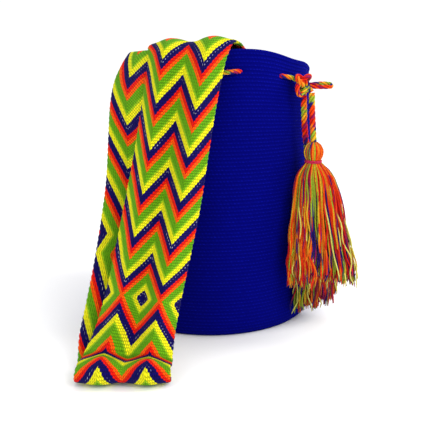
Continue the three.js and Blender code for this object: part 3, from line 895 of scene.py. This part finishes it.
def add_bag_outside(material):
    """The outer face: base, wall and rolled rim, with a ridge for each crocheted round."""
    angle = np.linspace(-180, 180, BAG_COLUMNS + 1)[None, :-1]
    h, r = np.array(WALL_OUTLINE, float).T
    count = int(round((RIM_HEIGHT - 3 - h[0]) / CROCHET_ROW)) * RINGS_PER_ROW
    height = np.linspace(h[0], RIM_HEIGHT - 2.2, count + 1)
    fine = np.interp(height, h, r)
    kernel = np.hanning(15) / np.hanning(15).sum()
    padded = np.concatenate([2 * fine[0] - fine[7:0:-1], fine, 2 * fine[-1] - fine[-2:-9:-1]])
    radius = np.convolve(padded, kernel, "valid")
    row = np.arange(count + 1) / RINGS_PER_ROW
    relief = ROW_RELIEF * (np.abs(np.sin(math.pi * row)) ** 0.8 - 0.75)
    edging = 0.9 * np.clip((height - (RIM_HEIGHT - 7)) / 5, 0, 1)
    reach = (radius + relief + edging)[:, None] + 0.6 * wall_wave(angle, height[:, None])
    wall = wall_points(height[:, None], reach, angle)
    pull = eyelet_pull(wall, 2.1)
    inwards = -np.stack([np.sin(np.radians(angle)), -np.cos(np.radians(angle)), 0 * angle], -1)
    wall = gathered(wall + inwards * pull[..., None], angle, height[:, None])
    # The rolled edge of the rim, then nothing more: the inside is a piece of its own.
    lip = []
    for turn in np.radians([18, 40, 65, 90, 115, 140, 165]):
        r_lip = radius[-1] - 2 + 2.6 * math.cos(turn) + 0.3
        edge = gathered(wall_points(RIM_HEIGHT - 2.2 + 2.4 * math.sin(turn), r_lip, angle), angle, RIM_HEIGHT)
        lip.append(edge[0])
    # The base, in rounds that shrink to its middle.
    rounds = np.linspace(110, 3, 28 * 2 + 1)
    ripple = 0.35 * (np.abs(np.sin(math.pi * np.arange(len(rounds)) / 2)) - 1)
    base = [wall_points(0.7, 112.2, angle)[0]]
    base += [wall_points(0.25 - q, b, angle)[0] for b, q in zip(rounds, ripple)]
    grid = np.concatenate([np.array(base)[::-1], wall, np.array(lip)])
    base_rows = -np.arange(len(base))[::-1] / 2 - 0.5
    lip_rows = row[-1] + np.linspace(0.3, 2, len(lip))
    add_shell("bag_crochet_outside", material, grid, np.concatenate([base_rows, row, lip_rows]), 0.4, False)


def add_bag_inside(material):
    """The inner face: floor and wall, with the rounds showing less."""
    angle = np.linspace(-180, 180, BAG_COLUMNS + 1)[None, :-1]
    h, r = np.array(WALL_OUTLINE, float).T
    count = int(RIM_HEIGHT / CROCHET_ROW) * 2
    height = np.linspace(8, RIM_HEIGHT - 1.6, count + 1)
    row = np.arange(count + 1) / 2
    relief = 0.3 * (np.abs(np.sin(math.pi * row)) - 0.5)
    reach = (np.interp(height, h, r) - WALL - relief)[:, None] + 0.6 * wall_wave(angle, height[:, None])
    wall = wall_points(height[:, None], reach, angle)
    outwards = np.stack([np.sin(np.radians(angle)), -np.cos(np.radians(angle)), 0 * angle], -1)
    wall = gathered(wall + outwards * eyelet_pull(wall, 1.9)[..., None], angle, height[:, None])
    rounds = np.linspace(109, 3, 57)
    floor = [wall_points(4.3 + 0.25 * (i % 2), b, angle)[0] for i, b in enumerate(rounds)]
    grid = np.concatenate([np.array(floor)[::-1], wall])
    floor_rows = -np.arange(len(floor))[::-1] / 2 - 0.5
    add_shell("bag_crochet_inside", material, grid, np.concatenate([floor_rows, row]), 4.4, True)


def add_seam(name, material):
    """The zigzag of thread that holds one end of the strap inside the wall."""
    middle, height, climb = SEAMS[name]
    turns = np.arange(2 * SEAM_TURNS + 1)
    aside = SEAM_REACH * (2 * turns / turns[-1] - 1)
    up = np.where(turns % 2 == 0, -SEAM_HALF_HEIGHT, SEAM_HALF_HEIGHT)
    corners = on_rim_circle(middle + aside, SEAM_RADIUS, 0)
    corners[:, 2] = height + climb * aside + up
    line, _ = evenly(smooth_line(corners, 10), 0.9)
    points, quads, fans, _, _ = tube(line, THREAD_RADIUS - 0.08, 8, plies=2, pitch=4.5, depth=0.2)
    finish_piece(make_mesh(f"{name}_thread", points, quads, fans), material, "bag", "sewing_thread", name)


# ---------- the tassels ----------


class Bundle:
    """Many strands gathered into one mesh."""

    def __init__(self):
        self.points, self.quads, self.fans, self.dyes, self.count = [], [], [], [], 0

    def add(self, line, radius, dye):
        points, quads, fans, _, _ = tube(line, radius, STRAND_SIDES, taper=True)
        self.points.append(points)
        self.quads.append(quads + self.count)
        self.fans += [([i + self.count for i in ring], middle + self.count) for ring, middle in fans]
        self.dyes.append(np.vstack([np.repeat(dye, STRAND_SIDES, axis=0), dye[:1], dye[-1:]]))
        self.count += len(points)

    def mesh(self, name):
        points, quads, dyes = np.vstack(self.points), np.vstack(self.quads), np.vstack(self.dyes)
        return make_mesh(name, points, quads, self.fans, colours=dyes)


def strand_line(tassel, spot, heights, drift, wobble, splay):
    """A strand's way down the tassel. spot is its place in the bundle: how far out, and at which angle."""
    rings = np.array(tassel["rings"], float)[::-1]
    z = np.asarray(heights, float)
    cx, cy, a, b = (np.interp(z, rings[:, 0], rings[:, k]) for k in (1, 2, 3, 4))
    neck = tassel["neck"][2]
    down = np.clip((neck - z) / (neck - rings[0, 0]), 0, 1)
    out, angle = spot
    angle = angle + drift * down
    x = out * tassel["spread"] ** down * (a - STRAND_RADIUS) * np.cos(angle) * (1 + splay * down**2)
    y = out * (b - STRAND_RADIUS) * np.sin(angle) * (1 + splay * down**2)
    for size, wave, phase, way in wobble:
        sway = size * down * np.sin((neck - z) / wave + phase)
        x, y = x + sway * math.cos(way), y + sway * math.sin(way)
    turn = math.radians(tassel["turn"])
    turned_x = x * math.cos(turn) - y * math.sin(turn)
    turned_y = x * math.sin(turn) + y * math.cos(turn)
    return np.stack([cx + turned_x, cy + turned_y, z], 1)


def random_sway(rng, sizes, waves):
    """One sideways sway of a strand: its size, wave, phase and direction."""
    return (rng.uniform(*sizes), rng.uniform(*waves), rng.uniform(0, 6.3), rng.uniform(0, 3.1))


def add_tassel(name, tassel, material):
    """A tassel of separate strands in hanks, some from over its head, with a few strays."""
    rng = np.random.default_rng(tassel["seed"])
    rings = tassel["rings"]
    top, neck, low = rings[0][0], tassel["neck"][2], rings[-1][0]
    bundle = Bundle()
    hanks = [
        {
            "dye": rng.uniform(0, len(YARN_ORDER) * YARN_STRETCH),
            "drift": rng.uniform(-0.16, 0.16),
            "wobble": [random_sway(rng, (0.9, 2.6), (8, 17))],
            "lift": rng.uniform(0, 1) ** 2 * 15,
        }
        for _ in range(tassel["hanks"])
    ]
    for i in range(tassel["strands"]):
        k = rng.integers(len(hanks))
        hank = hanks[k]
        angle = (k + rng.normal(0.5, 0.3)) / len(hanks) * 2 * math.pi
        from_head = i < tassel["strands"] * HEAD_SHARE
        out = rng.uniform(0.86, 1.0) if from_head else math.sqrt(rng.uniform(0.08, 1.0))
        stray = rng.uniform() < STRAY_SHARE
        end = low + hank["lift"] + rng.uniform(-2, 7)
        end += rng.uniform(6, 22) if rng.uniform() < SHORT_SHARE else 0
        own = random_sway(rng, (0.3, 1.1), (3, 6))
        loose = random_sway(rng, (1.6, 3.4), (4, 9))
        wobble = hank["wobble"] + ([loose] if stray else [own])
        drift = hank["drift"] + (rng.uniform(-0.4, 0.4) if stray else rng.normal(0, 0.05))
        start = top - 0.3 if from_head else neck + 1.5
        head = np.linspace(start, neck, 9 if from_head else 2)[:-1]
        skirt = neck - (neck - end) * np.linspace(0, 1, 26 if stray else 21) ** 1.1
        z = np.concatenate([head, skirt])
        line = strand_line(tassel, (out + 0.04 * stray, angle), z, drift, wobble, 0.1 if stray else 0.0)
        along = lengths_along(line) * rng.uniform(0.6, 0.9)
        position = hank["dye"] + rng.normal(0, 1.2) * YARN_STRETCH + along
        # The tassel's shade number darkens its dye, and on the rear tassel it is painted shade; each strand
        # also differs at random in tone.
        dye = yarn_colour(position, tassel["shade"] * rng.uniform(0.7, 1.14))
        if stray and rng.uniform() < PALE_SHARE:
            pale = np.append(np.array(YARN["pale"][:3]) * tassel["shade"], 1)
            pales_at = rng.uniform(0.25, 0.6) * lengths_along(line)[-1]
            fade = np.clip((lengths_along(line) - pales_at) / 8, 0, 1)[:, None]
            dye = dye * (1 - fade) + pale * fade
        bundle.add(line, STRAND_RADIUS * rng.uniform(0.85, 1.15), np.clip(dye, 0, 1))
    piece = bundle.mesh(f"{name}_strands")
    finish_piece(piece, material, name, "tassel_yarn", f"{name}_yarn")


def add_binding(name, tassel, material):
    """Thread wound tightly round the tassel's neck, with its last turn crossing the others."""
    x, y, z = tassel["neck"]
    t = np.linspace(0, BINDING_TURNS + BINDING_CROSSING, 200)
    level = z + BINDING_HALF_HEIGHT * (2 * np.minimum(t / BINDING_TURNS, 1) - 1)
    level = np.where(t > BINDING_TURNS, z + BINDING_HALF_HEIGHT - (t - BINDING_TURNS) * 2.4, level)
    radius = BINDING_RADIUS + 0.25 * np.sin(t * 2.4)
    line = np.stack([x + radius * np.cos(2 * math.pi * t), y + radius * np.sin(2 * math.pi * t), level], 1)
    points, quads, fans, _, _ = tube(line, BINDING_THREAD_RADIUS, 8, plies=2, pitch=4.0, depth=0.2)
    piece = make_mesh(f"{name}_winding", points, quads, fans)
    finish_piece(piece, material, name, "binding_thread", f"{name}_binding")


# ---------- the studio ----------


def add_light(name, place, target, size, power):
    """A soft square light that faces a target, in metres and watts."""
    data = bpy.data.lights.new(name, "AREA")
    data.shape, data.size, data.energy = "SQUARE", size, power
    light = bpy.data.objects.new(name, data)
    light.location = place
    light.rotation_euler = (Vector(target) - Vector(place)).to_track_quat("-Z", "Y").to_euler()
    bpy.context.scene.collection.objects.link(light)


def add_studio():
    """A pale floor, a white world and four soft lights."""
    points = np.array([(-4, -4, 0), (4, -4, 0), (4, 4, 0), (-4, 4, 0)]) / MM
    floor = make_mesh("floor", points, [[0, 1, 2, 3]])
    floor.data.materials.append(floor_material())
    world = bpy.data.worlds.new("studio")
    world.use_nodes = True
    world.node_tree.nodes["Background"].inputs["Color"].default_value = (1, 1, 1, 1)
    world.node_tree.nodes["Background"].inputs["Strength"].default_value = 1.06
    bpy.context.scene.world = world
    add_light("key", (0.9, -1.3, 1.5), (0, 0, 0.15), 0.8, 12)
    add_light("fill", (-1.3, -1.2, 0.9), (0, 0, 0.12), 1.2, 4)
    add_light("side", (1.5, 0.1, 1.1), (0.08, 0, 0.25), 0.7, 14)
    add_light("back", (0.2, 1.6, 1.6), (0, 0, 0.2), 1.2, 5)
    bpy.context.scene.view_settings.view_transform = "Standard"


def add_pieces():
    """Everything in the scene, the camera and the cords first."""
    add_camera()
    cord_yarn = yarn_material("cord_yarn")
    add_tassel_cord("front_tassel", TASSELS["front_tassel"], cord_yarn, 95)
    add_tassel_cord("rear_tassel", TASSELS["rear_tassel"], cord_yarn, 240)
    add_drawstring(cord_yarn)
    add_strap(strap_material())
    crochet = crochet_material()
    add_bag_outside(crochet)
    add_bag_inside(crochet)
    thread = yarn_material("sewing_thread", THREAD_NAVY)
    for name in SEAMS:
        add_seam(name, thread)
    tassel_yarn = yarn_material("tassel_yarn")
    winding = yarn_material("binding_thread", BINDING_PINK)
    for name, tassel in TASSELS.items():
        add_tassel(name, tassel, tassel_yarn)
        add_binding(name, tassel, winding)
    add_studio()


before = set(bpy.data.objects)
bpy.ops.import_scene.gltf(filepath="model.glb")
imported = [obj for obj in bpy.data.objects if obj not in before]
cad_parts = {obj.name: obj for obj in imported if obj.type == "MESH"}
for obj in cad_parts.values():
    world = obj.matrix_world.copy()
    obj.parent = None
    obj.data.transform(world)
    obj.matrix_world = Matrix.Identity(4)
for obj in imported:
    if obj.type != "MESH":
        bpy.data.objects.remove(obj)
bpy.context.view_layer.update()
add_pieces()
